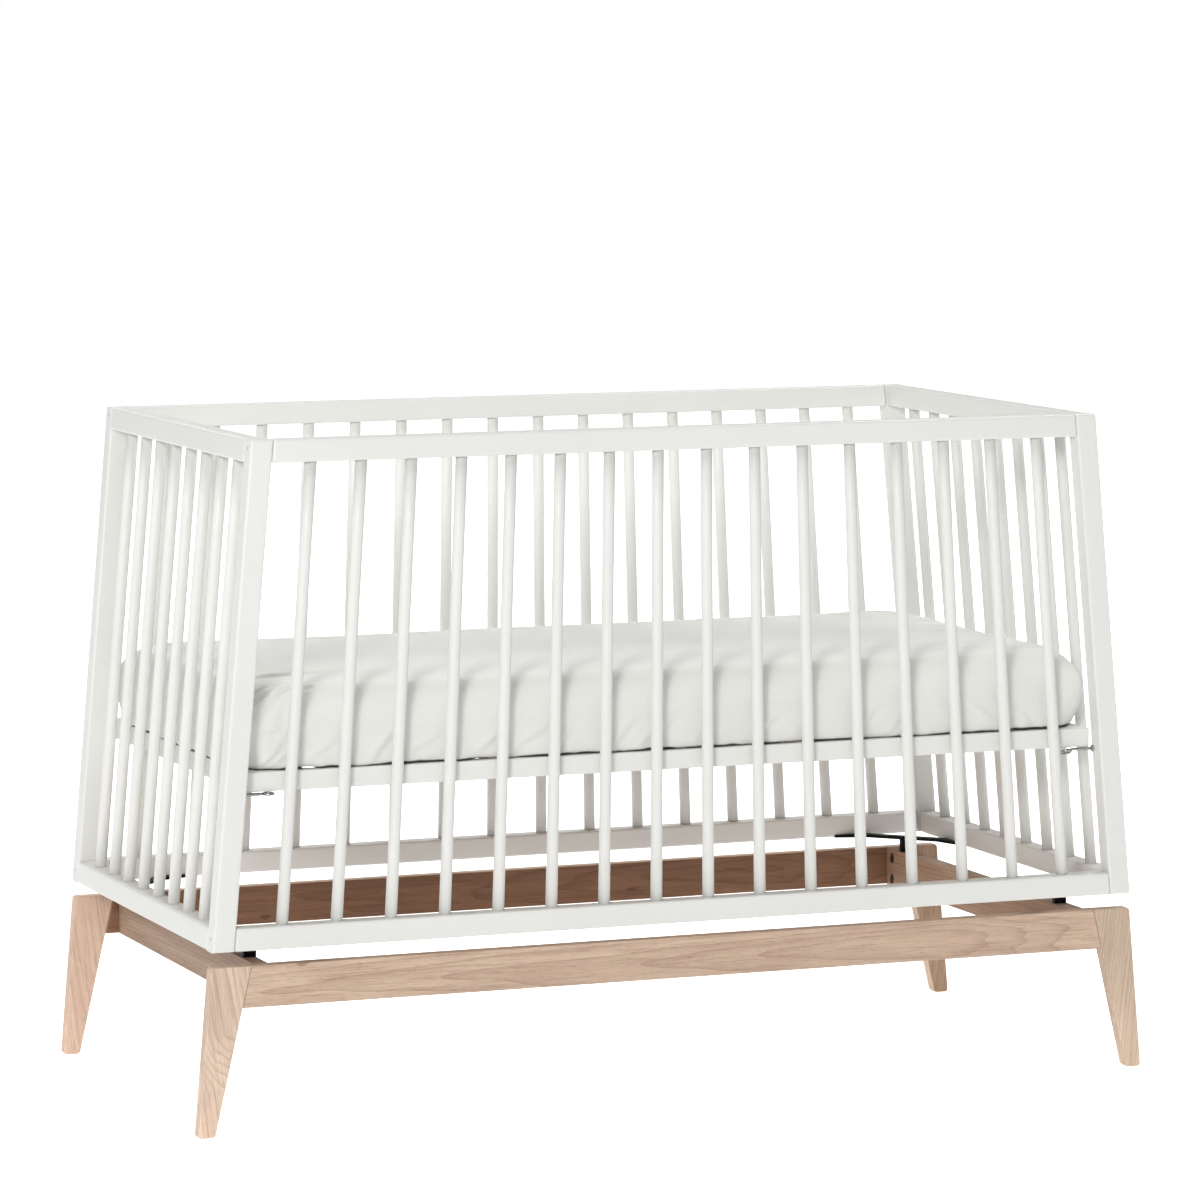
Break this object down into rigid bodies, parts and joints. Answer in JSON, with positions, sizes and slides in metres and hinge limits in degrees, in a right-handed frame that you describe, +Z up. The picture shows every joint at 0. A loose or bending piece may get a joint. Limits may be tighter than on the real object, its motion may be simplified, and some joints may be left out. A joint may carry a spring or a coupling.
{
  "type": "baby crib",
  "caption": "White barred baby crib with leaning ends on an oak base frame with splayed legs, with a height-adjustable slatted mattress base and a mattress in a fitted sheet.",
  "frame": {"origin": "centre of the footprint, on the floor", "axes": "+Z up, X along the crib's length, -Y towards the front"},
  "size_m": [1.3434, 0.652, 0.895],
  "materials": {
    "painted_wood": "smooth white satin paint, fine grain just showing",
    "oak": "pale pinkish oak, matte lacquer, open grain",
    "slat_wood": "bare planed softwood",
    "black_steel": "black powder coat",
    "zinc_steel": "dull zinc plating",
    "sheet_fabric": "off-white woven cotton fitted sheet"
  },
  "bodies": {
    "crib_frame": {"post_front_left": "painted_wood", "bolt_upper_front_left": "zinc_steel", "bolt_lower_front_left": "zinc_steel", "post_front_right": "painted_wood", "bolt_upper_front_right": "zinc_steel", "bolt_lower_front_right": "zinc_steel", "post_back_left": "painted_wood", "bolt_upper_back_left": "zinc_steel", "bolt_lower_back_left": "zinc_steel", "post_back_right": "painted_wood", "bolt_upper_back_right": "zinc_steel", "bolt_lower_back_right": "zinc_steel", "top_rail_front": "painted_wood", "bottom_rail_and_dowels_front": "painted_wood", "top_rail_back": "painted_wood", "bottom_rail_and_dowels_back": "painted_wood", "top_rail_left": "painted_wood", "bottom_rail_and_dowels_left": "painted_wood", "top_rail_right": "painted_wood", "bottom_rail_and_dowels_right": "painted_wood", "base_rail_front": "oak", "leg_front_left": "oak", "leg_front_right": "oak", "base_rail_back": "oak", "leg_back_left": "oak", "leg_back_right": "oak", "apron_left": "oak", "cross_nut_lower_front_left": "black_steel", "cross_nut_upper_front_left": "black_steel", "cross_nut_lower_back_left": "black_steel", "cross_nut_upper_back_left": "black_steel", "apron_right": "oak", "cross_nut_lower_front_right": "black_steel", "cross_nut_upper_front_right": "black_steel", "cross_nut_lower_back_right": "black_steel", "cross_nut_upper_back_right": "black_steel", "bracket_front_left": "black_steel", "bracket_front_right": "black_steel", "bracket_back_left": "black_steel", "bracket_back_right": "black_steel"},
    "mattress_base": {"mattress_base_rail_front": "painted_wood", "mattress_base_rail_back": "painted_wood", "mattress_base_rail_left": "painted_wood", "mattress_base_rail_right": "painted_wood", "mattress_base_slat_01": "slat_wood", "mattress_base_slat_02": "slat_wood", "mattress_base_slat_03": "slat_wood", "mattress_base_slat_04": "slat_wood", "mattress_base_slat_05": "slat_wood", "mattress_base_slat_06": "slat_wood", "mattress_base_slat_07": "slat_wood", "mattress_base_slat_08": "slat_wood", "mattress_base_slat_09": "slat_wood", "mattress_base_slat_10": "slat_wood", "mattress_base_slat_11": "slat_wood", "mattress": "sheet_fabric"},
    "left_eye_screws": {"eye_screw_front_left": "zinc_steel", "eye_screw_back_left": "zinc_steel"},
    "right_eye_screws": {"eye_screw_front_right": "zinc_steel", "eye_screw_back_right": "zinc_steel"}
  },
  "joints": [
    {"name": "mattress_height", "type": "slide", "parent": "crib_frame", "child": "mattress_base", "axis": [0, 0, 1], "range_m": [-0.15, 0]},
    {"name": "left_screws_reach", "type": "slide", "parent": "mattress_base", "child": "left_eye_screws", "axis": [-1, 0, 0], "range_m": [-0.0001, 0.01327]},
    {"name": "right_screws_reach", "type": "slide", "parent": "mattress_base", "child": "right_eye_screws", "axis": [1, 0, 0], "range_m": [-0.0001, 0.01327]}
  ],
  "couplings": [
    {"joint": "left_screws_reach", "follows": "mattress_height", "ratio": -0.087786},
    {"joint": "right_screws_reach", "follows": "mattress_height", "ratio": -0.087786}
  ]
}
